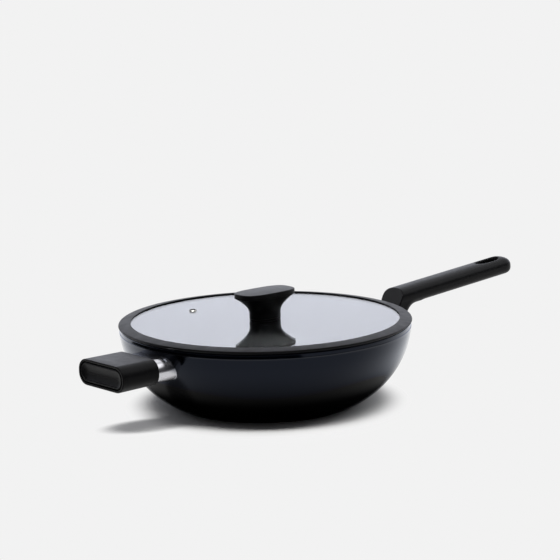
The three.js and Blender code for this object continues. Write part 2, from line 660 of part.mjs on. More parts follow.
const seatHeight = rimHeight + FIT;
const ringRadius = LEDGE_RADIUS + RING_OVERHANG;
const ringInner = ringRadius - RING_FACE;
const ringEdgeTop = seatHeight + RING_EDGE;
const ringTop = ringEdgeTop + RING_CROWN;
const glassTop = ringTop - RING_LIP - FIT;
const glassBottom = glassTop - GLASS_THICKNESS;
const skirtRadius = wallAt(seatHeight - SKIRT_DEPTH, -WALL) - RIM_CLEARANCE;
const glassRadius = skirtRadius - RING_WEB - FIT;
const ventX = VENT_DISTANCE * Math.cos(VENT_ANGLE);
const ventY = VENT_DISTANCE * Math.sin(VENT_ANGLE);

function sealRing() {
  const channel = skirtRadius - RING_WEB;
  const under = glassRadius - RING_UNDER_REACH;
  const quarter = Math.PI / 2;
  const [out, inn, lip] = [ringRadius - RING_ROUND, ringInner + RING_LIP_ROUND, RING_LIP_ROUND];
  const profile = [
    [skirtRadius, seatHeight],
    ...arc(out, seatHeight + RING_ROUND, RING_ROUND, -quarter, 0, ARC_STEPS),
    ...arc(out, ringEdgeTop - RING_ROUND, RING_ROUND, 0, quarter, ARC_STEPS),
    ...arc(inn, ringTop - lip, lip, quarter, 2 * quarter, ARC_STEPS),
    [ringInner, ringTop - RING_LIP],
    [channel, glassTop + FIT],
    [channel, glassBottom - FIT],
    [under, glassBottom - FIT],
    [under, glassBottom - FIT - RING_UNDER_LIP],
    [skirtRadius - SKIRT_FOOT, seatHeight - SKIRT_DEPTH],
    [skirtRadius, seatHeight - SKIRT_DEPTH],
    [skirtRadius, seatHeight],
  ];
  return revolve(profile, ROUND_SEGMENTS);
}

function lidGlass() {
  const disc = new THREE.Shape().absarc(0, 0, glassRadius, 0, 2 * Math.PI);
  const hole = (x, y, radius) =>
    rod(radius, glassBottom - OVERSHOOT, glassTop + OVERSHOOT).translate(x, y, 0);
  const blank = new THREE.ExtrudeGeometry(disc, {
    depth: GLASS_THICKNESS, bevelEnabled: false, curveSegments: ROUND_SEGMENTS / 2 });
  return cut(
    blank.translate(0, 0, glassBottom),
    hole(0, 0, KNOB_HOLE_RADIUS),
    hole(ventX, ventY, VENT_BORE + VENT_WALL + FIT),
  );
}

function ventEyelet() {
  const outside = VENT_BORE + VENT_WALL;
  const [low, high] = [glassBottom - FIT, glassTop + FIT];
  const foot = low - VENT_FLANGE_THICKNESS;
  const half = VENT_BEAD / 2;
  return revolve([
    [VENT_BORE, foot], [VENT_FLANGE, foot], [VENT_FLANGE, low], [outside, low], [outside, high],
    [VENT_FLANGE - half / 2, high], [VENT_FLANGE, high + half], [VENT_FLANGE - half, high + VENT_BEAD],
    [VENT_BORE + half, high + VENT_BEAD], [VENT_BORE, high + half], [VENT_BORE, foot],
  ], SMALL_SEGMENTS).translate(ventX, ventY, 0);
}

// Knob

const gasketLow = glassTop + FIT;
const knobLow = gasketLow + GASKET_THICKNESS + FIT;
const insertLow = knobLow + FIT;
const lowerGasketTop = glassBottom - FIT;
const knobWasherTop = lowerGasketTop - LOWER_GASKET_THICKNESS - FIT;
const knobScrewSeat = knobWasherTop - KNOB_WASHER_THICKNESS - FIT;

function knobRing(height, flare, inset = 0) {
  // A section between the neck's oval (flare 0) and the flange's (flare 1).
  const length = THREE.MathUtils.lerp(NECK_LENGTH, KNOB_LENGTH, flare) - 2 * inset;
  const width = THREE.MathUtils.lerp(NECK_WIDTH, KNOB_WIDTH, flare) - 2 * inset;
  const power = THREE.MathUtils.lerp(NECK_POWER, KNOB_POWER, flare);
  return oval(length, width, power, OVAL_SEGMENTS).map(([x, y]) => new THREE.Vector3(x, y, height));
}

function knobGrip() {
  const flare = new THREE.QuadraticBezierCurve(
    new THREE.Vector2(0, glassTop + KNOB_NECK_TOP),
    new THREE.Vector2(0, glassTop + KNOB_FLARE_PULL),
    new THREE.Vector2(1, glassTop + KNOB_FLANGE_LOW)).getPoints(KNOB_FLARE_STEPS);
  const top = glassTop + KNOB_HEIGHT;
  const edge = arc(KNOB_EDGE, top - KNOB_EDGE, KNOB_EDGE, Math.PI, Math.PI / 2, ARC_STEPS);
  const body = loft([
    knobRing(knobLow, 0),
    ...flare.map((point) => knobRing(point.y, point.x)),
    ...edge.map(([inset, height]) => knobRing(height, 1, inset)),
  ]);
  const socket = rod(INSERT_RADIUS + FIT, knobLow - OVERSHOOT, insertLow + INSERT_LENGTH + FIT);
  return cut(body, socket);
}

function knobInsert() {
  const bore = SCREW_RADIUS + THREAD_GAP;
  const waist = INSERT_RADIUS - INSERT_GROOVE_DEPTH;
  const top = insertLow + INSERT_LENGTH;
  const low = insertLow + (INSERT_LENGTH - INSERT_GROOVE_WIDTH) / 2;
  const high = low + INSERT_GROOVE_WIDTH;
  return revolve([
    [bore, insertLow], [INSERT_RADIUS, insertLow], [INSERT_RADIUS, low - INSERT_GROOVE_DEPTH],
    [waist, low], [waist, high], [INSERT_RADIUS, high + INSERT_GROOVE_DEPTH],
    [INSERT_RADIUS, top], [bore, top], [bore, insertLow],
  ], SMALL_SEGMENTS);
}

function knobGasket() {
  const outline = (height) => knobRing(height, 0, GASKET_INSET);
  const plate = loft([outline(gasketLow), outline(gasketLow + GASKET_THICKNESS)]);
  return cut(plate, rod(SCREW_HOLE_RADIUS, gasketLow - OVERSHOOT, knobLow));
}

function lowerGasket() {
  // A flat seal with a sleeve that centres the screw in the glass.
  const sleeve = KNOB_HOLE_RADIUS - FIT;
  const low = lowerGasketTop - LOWER_GASKET_THICKNESS;
  return revolve([
    [SCREW_HOLE_RADIUS, low], [LOWER_GASKET_RADIUS, low], [LOWER_GASKET_RADIUS, lowerGasketTop],
    [sleeve, lowerGasketTop], [sleeve, glassTop], [SCREW_HOLE_RADIUS, glassTop], [SCREW_HOLE_RADIUS, low],
  ], SMALL_SEGMENTS);
}

function lid() {
  const group = new THREE.Group();
  const shank = insertLow + KNOB_SCREW_ENGAGED - knobScrewSeat;
  piece(group, 'lid_glass', lidGlass(), 'glass');
  piece(group, 'lid_seal_ring', sealRing(), 'silicone');
  piece(group, 'vent_eyelet', ventEyelet(), 'steel');
  piece(group, 'knob_grip', knobGrip(), 'phenolic');
  piece(group, 'knob_insert', knobInsert(), 'brass');
  piece(group, 'knob_gasket', knobGasket(), 'silicone');
  piece(group, 'knob_lower_gasket', lowerGasket(), 'silicone');
  piece(group, 'knob_washer', ring(SCREW_HOLE_RADIUS, KNOB_WASHER_RADIUS,
    knobWasherTop - KNOB_WASHER_THICKNESS, knobWasherTop), 'steel');
  piece(group, 'knob_screw', screw(shank).translate(0, 0, knobScrewSeat), 'steel');
  group.rotation.z = LID_TURN;
  return group;
}

// Assembly

const wok = new THREE.Group();
piece(wok, 'wok_body', wokBody(), 'lacquer');
piece(wok, 'induction_base', inductionBase(), 'steel');
wok.add(longHandle(), helperHandle(), lid());

export default wok;
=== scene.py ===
import json
from math import acos, asin, atan, cos, pi, radians, sin, sqrt, tan

import bmesh
import bpy
import numpy as np
from mathutils import Matrix, Vector


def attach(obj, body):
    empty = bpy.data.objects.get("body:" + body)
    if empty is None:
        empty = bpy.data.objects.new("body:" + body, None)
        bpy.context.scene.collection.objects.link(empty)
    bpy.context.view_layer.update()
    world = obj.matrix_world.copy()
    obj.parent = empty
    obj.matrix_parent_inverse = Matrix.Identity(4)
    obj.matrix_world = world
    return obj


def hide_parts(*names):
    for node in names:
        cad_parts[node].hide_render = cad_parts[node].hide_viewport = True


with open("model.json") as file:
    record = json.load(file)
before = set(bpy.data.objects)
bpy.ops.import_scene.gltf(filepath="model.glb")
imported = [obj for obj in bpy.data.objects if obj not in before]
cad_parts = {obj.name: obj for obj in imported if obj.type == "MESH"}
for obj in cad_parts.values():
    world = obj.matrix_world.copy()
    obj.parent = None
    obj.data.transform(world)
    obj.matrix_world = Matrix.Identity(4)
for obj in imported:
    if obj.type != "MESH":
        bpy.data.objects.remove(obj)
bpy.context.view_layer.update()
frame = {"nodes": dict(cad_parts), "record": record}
scene = bpy.context.scene
scene.view_settings.view_transform = "Standard"

# Sizes, in millimetres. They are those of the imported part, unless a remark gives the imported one.
MM = 0.001
FIT = 0.3

FOOT_RADIUS = 90.4
LEDGE_RADIUS = 143.6
LEDGE_HEIGHT = 74.6
LEDGE_ROUND = 0.8                  # the wall ends this far below the ledge
LEDGE_EDGE = ((0, -0.4), (0, 0.6), (-0.1, 0.7))   # its upright edge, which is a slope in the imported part
LEDGE_STEP = 0.75
EDGE_BAND = (-0.5, 0.65)           # heights about the ledge with the glossier lacquer
RIM_RADIUS = 142.8
RIM_HEIGHT = 79.1
WALL_LEAN = radians(6.35)
WALL = 3.0
FLOOR_HEIGHT = 5.25
FLOOR_REACH = 100.0
BASE_PROUD = 1.25
BASE_RADIUS = 82.0
BASE_THICKNESS = 2.4
BASE_CHAMFER = 0.6
BASE_GROOVES = (28.0, 56.0)        # their radii
BASE_GROOVE_HALF = 0.8
BASE_GROOVE_DEPTH = 0.5

HELPER_HEIGHT = 61.0
HELPER_START = 158.8
HELPER_END = 202.3
HELPER_WIDTH = (65.6, 68.6)
HELPER_THICKNESS = 25.0
HELPER_CORNER = 11.5               # packed 9
HELPER_EDGE = (1.4, 0.7)           # towards the pan and at the end, packed 3 and 1.2
HELPER_FERRULE = (57.0, 20.8)      # packed 57 by 22
HELPER_FERRULE_HEIGHT = 60.4       # of its axis, packed 61
HELPER_FLARE = 1.6                 # at the wall, packed without
FLARE_REACH = 10
FLARE_SHIFT = 0.6
CAP_BORDER = 2.2
CAP_DEPTH = 3.5
CAP_THICKNESS = 3.0
CAP_RIM = 1.8
CAP_FIELD_DEPTH = 1.6              # packed 0.8
CAP_FIELD_SLOPE = 7.0
CAP_GAP = 1.2
CAP_ROUND = 0.9

LONG_HEIGHT = 59.0
LONG_START = 158.0
LONG_END = 351.0
LONG_WIDTH = 29.0
LONG_THICKNESS = 18.7
LONG_POWER = (2.4, 3.0)            # squareness of the grip's upper and lower half, packed 2.7
LONG_RISE = radians(4.2)
LONG_TIP = 13.0
TIP_POWER = 2.5
TIP_SWEEP = 0.985
GRIP_MIDDLE = 260
GRIP_LIFT = 17.15
COLLAR_THICKNESS = 23.5
NECK_THICKNESS = 18.3              # packed 16.5
NECK_EDGE = 7.0
NECK_HEEL = 10.0
NECK_BEND = 17.0                   # packed 12
NECK_RUNOUT = 24.0
NECK_INSET = 0.3
FACET_SETBACK = 7.86
FACET_LEAN = radians(62)
FACET_BAND = 2.5                   # depth behind the facet that can have the paler, painted-highlight material
FACET_FACING = 0.93                # cosine to the facet's normal from which a face takes the painted-highlight material
LONG_FERRULE = (25.0, 20.0)
LONG_SCREW_X = 168.0
LONG_BORE = 11.2
LONG_BORE_HEIGHTS = (30, 52)
SLOT_X = 321.5
SLOT_SIZE = (33.0, 12.0)
SLOT_CHAMFER = 1.8
SLOT_POWER = 2.6
VOXEL = 0.6
SOFTENING = (0.5, 9)               # factor and rounds
FERRULE_WALL = 1.2
FERRULE_INSERT = 3.0
FERRULE_TOP = 0.61                 # top corners' radius, as a share of the height

LID_TURN = radians(-2)
SEAT_HEIGHT = 79.4
RING_RADIUS = 144.4                # packed 144.5
RING_ROUND = 1.4
RING_LIP = 0.4
RING_INNER = 132.3
RING_EDGE_TOP = 82.55
RING_TOP = 84.1
GLASS_TOP = 82.95
GLASS_BOTTOM = 78.95
SKIRT_BOTTOM = 74.6
SKIRT_DEPTH = 4.8
SKIRT_GAP = 0.8
SKIRT_FOOT = 5.7
GLASS_SEAT = 2
VENT = (86.9, radians(105.7))
VENT_BEAD = 1.3
VENT_BORE = 1.7
VENT_STEM = 2.5
VENT_FLANGE = (4.1, 0.9)           # radius, and how far it reaches below the glass
VENT_COLLAR = (4.4, 3.2, 2.9)      # radii of the cone's foot, top and mouth
VENT_GAP = 0.02
VENT_MOUTH = 1.0

KNOB_SIZE = (64.6, 34.0)
KNOB_NECK = (34.0, 22.0)
KNOB_BOTTOM = 84.55
KNOB_TOP = 111.35
KNOB_FLARE = (89.95, 97.45, 106.45)
KNOB_POWER = (2.3, 3.1)            # squareness of neck and top
KNOB_BORE = 2.9
KNOB_STEM = 4.7
GASKET = (12.0, 1.5, 0.4)          # radius, thickness and rounding
WASHER = (10.0, 1.2, 0.3)
WASHER_DROP = 1.8


# Mesh helpers

def add(name, points, faces, material, sharp=32):
    """A smooth-shaded object from points in millimetres. Edges above the sharp angle stay crisp."""
    mesh = bpy.data.meshes.new(name)
    mesh.from_pydata([tuple(c * MM for c in p) for p in points], [], faces)
    work = bmesh.new()
    work.from_mesh(mesh)
    bmesh.ops.recalc_face_normals(work, faces=work.faces)
    work.to_mesh(mesh)
    work.free()
    mesh.materials.append(material)
    obj = bpy.data.objects.new(name, mesh)
    bpy.context.collection.objects.link(obj)
    shade(mesh, sharp)
    return obj


def shade(mesh, sharp):
    mesh.polygons.foreach_set("use_smooth", [True] * len(mesh.polygons))
    mesh.set_sharp_from_angle(angle=radians(sharp))
    mesh.update()


def arc(x, y, radius, start, end, steps):
    angles = np.radians(np.linspace(start, end, steps + 1))
    return [(x + radius * cos(a), y + radius * sin(a)) for a in angles]


def lathe(profile, segments=224, at=(0, 0)):
    """Turn [radius, height] points about an upright axis. A closed profile repeats its first point."""
    points, faces, columns = [], [], []
    for r, z in profile:
        count = 1 if r < 1e-6 else segments
        columns.append((len(points), count))
        for i in range(count):
            a = 2 * pi * i / segments
            points.append((at[0] + r * cos(a), at[1] + r * sin(a), z))
    if profile[0] == profile[-1]:
        del points[columns[-1][0]:]
        columns[-1] = columns[0]
    for (a, na), (b, nb) in zip(columns, columns[1:]):
        for i in range(segments):
            j = (i + 1) % segments
            if na == 1 and nb == 1:
                continue
            if na == 1:
                faces.append((a, b + i, b + j))
            elif nb == 1:
                faces.append((a + j, a + i, b))
            else:
                faces.append((a + j, a + i, b + i, b + j))
    return points, faces


def loft(rings, closed=False):
    """Skin rings of equal length. The ends get one flat face each, unless the last ring joins the first."""
    n = len(rings[0])
    points = [p for ring in rings for p in ring]
    faces = []
    for level in range(len(rings) if closed else len(rings) - 1):
        a, b = level * n, (level + 1) % len(rings) * n
        for i in range(n):
            j = (i + 1) % n
            faces.append((a + i, a + j, b + j, b + i))
    if not closed:
        faces.append(tuple(reversed(range(n))))
        faces.append(tuple(range(len(points) - n, len(points))))
    return points, faces


def rounded(width, height, radius, steps=10):
    x, y = width / 2 - radius, height / 2 - radius
    corners = [(x, y, 0), (-x, y, 90), (-x, -y, 180), (x, -y, 270)]
    return [p for cx, cy, a in corners for p in arc(cx, cy, radius, a, a + 90, steps)]


def oval(length, width, power, count):
    def squared(v):
        return np.sign(v) * abs(v) ** (2 / power)
    turns = [2 * pi * i / count for i in range(count)]
    return [(length / 2 * squared(cos(a)), width / 2 * squared(sin(a))) for a in turns]


def along_x(section, x, height):
    return [(x, y, height + z) for y, z in section]


def turned(points, angle):
    c, s = cos(angle), sin(angle)
    return [(c * x - s * y, s * x + c * y, z) for x, y, z in points]


def place(obj, body, slot, *nodes):
    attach(obj, body)
    if nodes:
        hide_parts(*nodes)
    return obj


# Materials

class Nodes:
    """Short forms for building a node tree."""

    def __init__(self, tree):
        self.tree = tree

    def node(self, kind, outlet, *values, **settings):
        """Add a node, set or link its inputs in order, and return one of its outputs."""
        node = self.tree.nodes.new("ShaderNode" + kind)
        for name, value in settings.items():
            setattr(node, name, value)
        for value, socket in zip(values, node.inputs):
            if isinstance(value, bpy.types.NodeSocket):
                self.tree.links.new(value, socket)
            elif value is not None:
                socket.default_value = value
        return node.outputs[outlet]

    def math(self, operation, *values):
        return self.node("Math", "Value", *values, operation=operation)

    def vector(self, operation, *values):
        return self.node("VectorMath", "Vector", *values, operation=operation)

    def dot(self, a, b):
        return self.node("VectorMath", "Value", a, b, operation="DOT_PRODUCT")

    def scaled(self, vector, scale):
        return self.vector("SCALE", vector, None, None, scale)

    def fade(self, value, low, high, start=0.0, end=1.0):
        return self.node("MapRange", "Result", value, low, high, start, end, interpolation_type="SMOOTHSTEP")


def surface(name, dark, light, rough, mottle=40, grain=1200, bump=0.0, stretch=(1, 1, 1), **sockets):
    """A shader whose colour and roughness drift between two values, with a fine grain in the normal."""
    material = bpy.data.materials.new(name)
    material.use_nodes = True
    n = Nodes(material.node_tree)
    shader = n.tree.nodes["Principled BSDF"]
    for socket, value in sockets.items():
        shader.inputs[socket.replace("_", " ")].default_value = value
    spot = n.node("TexCoord", "Object")
    stretched = n.vector("MULTIPLY", spot, stretch)
    broad = n.node("TexNoise", "Fac", stretched, None, mottle, 4)
    share = n.node("MapRange", "Result", broad, 0.3, 0.7, 0.0, 1.0)
    shade = n.vector("ADD", dark, n.scaled(Vector(light) - Vector(dark), share))
    n.tree.links.new(shade, shader.inputs["Base Color"])
    n.tree.links.new(n.node("MapRange", "Result", share, 0.0, 1.0, *rough), shader.inputs["Roughness"])
    if bump:
        fine = n.node("TexNoise", "Fac", stretched, None, grain, 2)
        relief = n.tree.nodes.new("ShaderNodeBump")
        relief.inputs["Distance"].default_value = bump * MM
        n.tree.links.new(fine, relief.inputs["Height"])
        n.tree.links.new(relief.outputs["Normal"], shader.inputs["Normal"])
    return material


PAINTED_FOOT_SHADE_HEIGHTS = (21.0, 63.0)       # painted shade: the lacquer's colour and sheen rise between these heights
PAINTED_FOOT_SHADE_LEAST = 0.02
SHEEN_TINT = (0.88, 0.92, 1.0)


def lacquer(name, coat):
    """Blue-black lacquer with painted shade: its colour and sheen sink towards the foot, alike all round."""
    material = surface(name, (0.0007, 0.0028, 0.0088), (0.0011, 0.0034, 0.0098), (0.14, 0.18), mottle=25,
                       grain=700, bump=0.0003, Metallic=1.0, Coat_Roughness=0.12, Coat_IOR=coat)
    n = Nodes(material.node_tree)
    shader = n.tree.nodes["Principled BSDF"]
    spot = n.scaled(n.node("TexCoord", "Object"), 1 / MM)
    # painted shade: colour, specular tint and coat weight darken towards the foot
    share = n.fade(n.dot(spot, (0, 0, 1)), *PAINTED_FOOT_SHADE_HEIGHTS, PAINTED_FOOT_SHADE_LEAST, 1.0)
    color = shader.inputs["Base Color"].links[0].from_socket
    n.tree.links.new(n.scaled(color, share), shader.inputs["Base Color"])
    n.tree.links.new(n.scaled(SHEEN_TINT, share), shader.inputs["Specular Tint"])
    n.tree.links.new(share, shader.inputs["Coat Weight"])
    return material


AZIMUTH = radians(41)              # of the view, from +Y towards +X
BACK = Vector((sin(AZIMUTH), cos(AZIMUTH), 0))
RIGHT = Vector((cos(AZIMUTH), -sin(AZIMUTH), 0))
LACQUER = lacquer("lacquer", 1.24)
EDGE = lacquer("lacquer_edge", 1.40)
NONSTICK = surface("nonstick", (0.0020, 0.0020, 0.0022), (0.0040, 0.0040, 0.0043), (0.21, 0.26), mottle=1400,
                   grain=1800, bump=0.004, Specular_IOR_Level=0.3, Specular_Tint=(0.45, 0.45, 0.45, 1))
SILICONE = surface("silicone", (0.0020, 0.0020, 0.0022), (0.0030, 0.0030, 0.0032), (0.42, 0.50), mottle=120,
                   grain=2400, bump=0.003, Specular_IOR_Level=0.33, Specular_Tint=(0.08, 0.08, 0.085, 1))
PHENOLIC = surface("phenolic", (0.0020, 0.0020, 0.0022), (0.0032, 0.0032, 0.0035), (0.36, 0.42), mottle=160,
                   grain=2600, bump=0.004, Specular_IOR_Level=0.30, Specular_Tint=(0.12, 0.12, 0.125, 1))
# A paler copy of the phenolic for the handle's facet: a painted highlight.
FACET_PAINTED_LIGHT = surface("phenolic_facet_painted_light", (0.020, 0.020, 0.021), (0.024, 0.024, 0.025), (0.5, 0.6), mottle=160,
                grain=2600, bump=0.004, Specular_IOR_Level=0.30, Specular_Tint=(0.12, 0.12, 0.125, 1))
STEEL = surface("steel", (0.60, 0.60, 0.63), (0.67, 0.67, 0.70), (0.17, 0.22),
                mottle=300, grain=1500, bump=0.0002, stretch=(0.15, 1, 1), Metallic=1.0)
EYELET = surface("eyelet_steel", (0.33, 0.33, 0.31), (0.37, 0.37, 0.35), (0.34, 0.40),
                 mottle=300, Metallic=1.0)
DISC = surface("disc_steel", (0.5, 0.5, 0.51), (0.62, 0.62, 0.63), (0.26, 0.38),
               mottle=500, grain=1500, bump=0.002, Metallic=1.0)
ALUMINIUM = surface("aluminium", (0.5, 0.5, 0.5), (0.6, 0.6, 0.6), (0.4, 0.55),
                    mottle=200, bump=0.004, Metallic=1.0)
BRASS = surface("brass", (0.55, 0.40, 0.16), (0.64, 0.48, 0.2), (0.3, 0.42),
                mottle=200, bump=0.003, Metallic=1.0)
GLASS = surface("glass", (0.93, 0.95, 0.965), (0.945, 0.962, 0.975), (0.0, 0.004), mottle=20,
                Transmission_Weight=1.0, IOR=1.5)

SLOT_MATERIAL = {"lacquer": LACQUER, "steel": STEEL, "phenolic": PHENOLIC, "silicone": SILICONE,
                 "glass": GLASS, "aluminium": ALUMINIUM, "brass": BRASS}
for part in frame["record"]["subparts"]:
    node = frame["nodes"][part["node"]]
    node.data.materials.clear()
    node.data.materials.append(SLOT_MATERIAL[part["material_slot"]])


# Pan

span_r, span_z = FOOT_RADIUS - LEDGE_RADIUS, BASE_PROUD - LEDGE_HEIGHT
WALL_RADIUS = -(span_r ** 2 + span_z ** 2) / (2 * (span_r * cos(WALL_LEAN) - span_z * sin(WALL_LEAN)))
WALL_R = LEDGE_RADIUS - WALL_RADIUS * cos(WALL_LEAN)
WALL_Z = LEDGE_HEIGHT + WALL_RADIUS * sin(WALL_LEAN)


def wall_at(height, offset=0.0):
    radius = WALL_RADIUS + offset
    return WALL_R + sqrt(radius ** 2 - (height - WALL_Z) ** 2)


def wall_arc(offset, low, high, steps):
    radius = WALL_RADIUS + offset
    ends = [np.degrees(asin((z - WALL_Z) / radius)) for z in (low, high)]
    return arc(WALL_R, WALL_Z, radius, *ends, steps)


inside_rim = wall_at(RIM_HEIGHT, -WALL)
rim_half = (RIM_RADIUS - inside_rim) / 2
pan_profile = [
    (0, BASE_THICKNESS + FIT), (BASE_RADIUS + FIT, BASE_THICKNESS + FIT), (BASE_RADIUS + FIT, BASE_PROUD),
    *wall_arc(0, BASE_PROUD, LEDGE_HEIGHT - LEDGE_ROUND, 72),
    *[(LEDGE_RADIUS + r, LEDGE_HEIGHT + z) for r, z in LEDGE_EDGE], (RIM_RADIUS, LEDGE_HEIGHT + LEDGE_STEP),
    *arc(RIM_RADIUS - rim_half, RIM_HEIGHT - rim_half, rim_half, 0, 180, 14),
    *wall_arc(-WALL, FLOOR_HEIGHT, RIM_HEIGHT - rim_half, 60)[::-1],
    (0, FLOOR_HEIGHT),
]
pan = add("wok_shell", *lathe(pan_profile), LACQUER, sharp=40)
pan.data.materials.append(NONSTICK)
pan.data.materials.append(EDGE)
for face in pan.data.polygons:
    radial = Vector((face.center.x, face.center.y, 0))
    inner = face.center.z > FLOOR_HEIGHT * MM - 1e-5 and face.normal.dot(radial) < 0
    if inner or (face.normal.z > 0.99 and radial.length < FLOOR_REACH * MM):
        face.material_index = 1
    elif LEDGE_HEIGHT + EDGE_BAND[0] < face.center.z / MM < LEDGE_HEIGHT + EDGE_BAND[1]:
        face.material_index = 2
place(pan, "pan", "lacquer", "wok_body")

groove_sides = [(-BASE_GROOVE_HALF, 0), (-BASE_GROOVE_HALF, BASE_GROOVE_DEPTH),
                (BASE_GROOVE_HALF, BASE_GROOVE_DEPTH), (BASE_GROOVE_HALF, 0)]
groove = [(radius + side, z) for radius in BASE_GROOVES for side, z in groove_sides]
base_profile = [(0, 0), *groove, (BASE_RADIUS - BASE_CHAMFER, 0), (BASE_RADIUS, BASE_CHAMFER),
                (BASE_RADIUS, BASE_THICKNESS), (0, BASE_THICKNESS)]
place(add("base_disc", *lathe(base_profile), DISC), "pan", "steel", "induction_base")


# Sleeves between wall and grips

def sleeve_section(half_width, half_height, top):
    """Round sides, fuller at the bottom. The bottom corners take the height that the top ones leave."""
    low = 2 * half_height - top
    corners = [
        (half_width - top, half_height - top, top, 0), (top - half_width, half_height - top, top, 90),
        (low - half_width, low - half_height, low, 180), (half_width - low, low - half_height, low, 270),
    ]
    return [p for x, z, radius, a in corners for p in arc(x, z, radius, a, a + 90, 20)[:-1]]


def sleeve(name, size, height, end, turn, flare=0.0):
    width, tall = size
    rings = []
    for inset in (0, FERRULE_WALL):
        sizes = (width / 2 - inset, tall / 2 - inset, tall * FERRULE_TOP - inset)
        section = sleeve_section(*sizes)
        wide = sleeve_section(*[size + flare for size in sizes])
        shares = [max(0.0, min(1.0, y / FLARE_REACH - FLARE_SHIFT)) for y, z in section]
        lean = [(y + s * (wy - y), z + s * (wz - z)) for (y, z), (wy, wz), s in zip(section, wide, shares)]
        foot = [(sqrt((wall_at(height + z) + FIT) ** 2 - y ** 2), y, height + z) for y, z in lean]
        rings += [foot, along_x(section, end, height)] if inset else [along_x(section, end, height), foot]
    rings = [turned(ring, turn) for ring in rings]
    return add(name, *loft(rings, closed=True), STEEL)


helper_sleeve = sleeve("helper_sleeve", HELPER_FERRULE, HELPER_FERRULE_HEIGHT, HELPER_START + FERRULE_INSERT,
                       pi, HELPER_FLARE)
place(helper_sleeve, "pan", "steel", "helper_handle_ferrule")
place(sleeve("long_sleeve", LONG_FERRULE, LONG_HEIGHT, LONG_START + FERRULE_INSERT, 0),
      "pan", "steel", "long_handle_ferrule")


# Helper handle

def helper_ring(x, inset):
    share = (x - HELPER_START) / (HELPER_END - HELPER_START)
    width = HELPER_WIDTH[0] + (HELPER_WIDTH[1] - HELPER_WIDTH[0]) * share
    section = rounded(width - 2 * inset, HELPER_THICKNESS - 2 * inset, max(HELPER_CORNER - inset, 0.3))
    return turned(along_x(section, x, HELPER_HEIGHT), pi)


near, far = HELPER_EDGE
edge = [helper_ring(HELPER_START + near - near * cos(t), near - near * sin(t))
        for t in np.linspace(0, pi / 2, 9)]
body = [helper_ring(HELPER_START + near + (HELPER_END - far - near - HELPER_START) * s, 0)
        for s in (0.25, 0.5, 0.75)]
lip = [helper_ring(HELPER_END - far + far * sin(t), far - far * cos(t)) for t in np.linspace(0, pi / 2, 7)]
recess = [helper_ring(HELPER_END, CAP_BORDER - 0.4), helper_ring(HELPER_END - 0.12, CAP_BORDER - 0.12),
          helper_ring(HELPER_END - 0.4, CAP_BORDER), helper_ring(HELPER_END - CAP_DEPTH, CAP_BORDER)]
helper = add("helper_grip", *loft(edge + body + lip + recess), PHENOLIC)
place(helper, "pan", "phenolic", "helper_handle_grip")

cap_low = HELPER_END - CAP_DEPTH + FIT
cap_top = cap_low + CAP_THICKNESS
inset = CAP_BORDER + CAP_GAP
cap_rings = [helper_ring(cap_low, inset), helper_ring(cap_top - CAP_ROUND, inset)]
cap_rings += [helper_ring(cap_top - CAP_ROUND + CAP_ROUND * sin(t), inset + CAP_ROUND - CAP_ROUND * cos(t))
              for t in np.linspace(0.2, pi - 0.3, 9)]
inset += CAP_RIM + 0.1
cap_rings += [helper_ring(cap_top - CAP_ROUND - CAP_FIELD_DEPTH * s * (2 - s), inset + CAP_FIELD_SLOPE * s)
              for s in np.linspace(0, 1, 9)]
place(add("helper_cap", *loft(cap_rings), PHENOLIC), "pan", "phenolic", "helper_handle_end_cap")


# Long handle

def grip_axis(x):
    return LONG_HEIGHT + GRIP_LIFT + (x - LONG_START) * tan(LONG_RISE)


def facet_at(height):
    return LONG_START + FACET_SETBACK + (height - LONG_HEIGHT) / tan(FACET_LEAN)


def filleted(corners, steps=14):
    out = []
    for i, (x, z, radius) in enumerate(corners):
        corner = Vector((x, z))
        back = (Vector(corners[i - 1][:2]) - corner).normalized()
        ahead = (Vector(corners[(i + 1) % len(corners)][:2]) - corner).normalized()
        if not radius:
            out.append((x, z))
            continue
        trim = radius / tan(acos(back.dot(ahead)) / 2)
        a, b = corner + back * trim, corner + ahead * trim
        out += [tuple(a * (1 - t) ** 2 + corner * 2 * t * (1 - t) + b * t ** 2)
                for t in np.linspace(0, 1, steps)]
    return out


def shrunk(outline, distance):
    """An outline that runs anticlockwise, moved inwards."""
    pts = np.array(outline)
    before, after = pts - np.roll(pts, 1, 0), np.roll(pts, -1, 0) - pts
    normals = [np.c_[-d[:, 1], d[:, 0]] / np.linalg.norm(d, axis=1)[:, None] for d in (before, after)]
    middle = normals[0] + normals[1]
    middle /= (middle * normals[0]).sum(1)[:, None]
    return pts + middle * distance


def across_y(outline, width, edge=0.0, steps=8):
    levels = [(width / 2, 0.0)]
    if edge:
        levels = [(width / 2 - edge * (1 - cos(t)), edge * (1 - sin(t)))
                  for t in np.linspace(0, pi / 2, steps)]
    levels += [(-y, d) for y, d in levels[::-1]]
    return [[(x, y, z) for x, z in shrunk(outline, d)] for y, d in levels]


def grip_ring(x, share=1.0):
    up = (-sin(LONG_RISE), cos(LONG_RISE))
    halves = [oval(LONG_WIDTH * share, LONG_THICKNESS * share, power, 72) for power in LONG_POWER]
    section = [upper if upper[1] > 0 else lower for upper, lower in zip(*halves)]
    return [(x + h * up[0], y, grip_axis(x) + h * up[1]) for y, h in section]


def solid(name, rings):
    return add(name, *loft(rings), PHENOLIC)


def combine(target, tool, operation):
    step = target.modifiers.new(operation, "BOOLEAN")
    step.object, step.operation, step.solver = tool, operation, "EXACT"
    bake(target)
    bpy.data.objects.remove(tool)


def bake(obj):
    """Turn an object's modifiers into its mesh."""
    view = bpy.context.evaluated_depsgraph_get()
    mesh = bpy.data.meshes.new_from_object(obj.evaluated_get(view))
    obj.modifiers.clear()
    obj.data = mesh


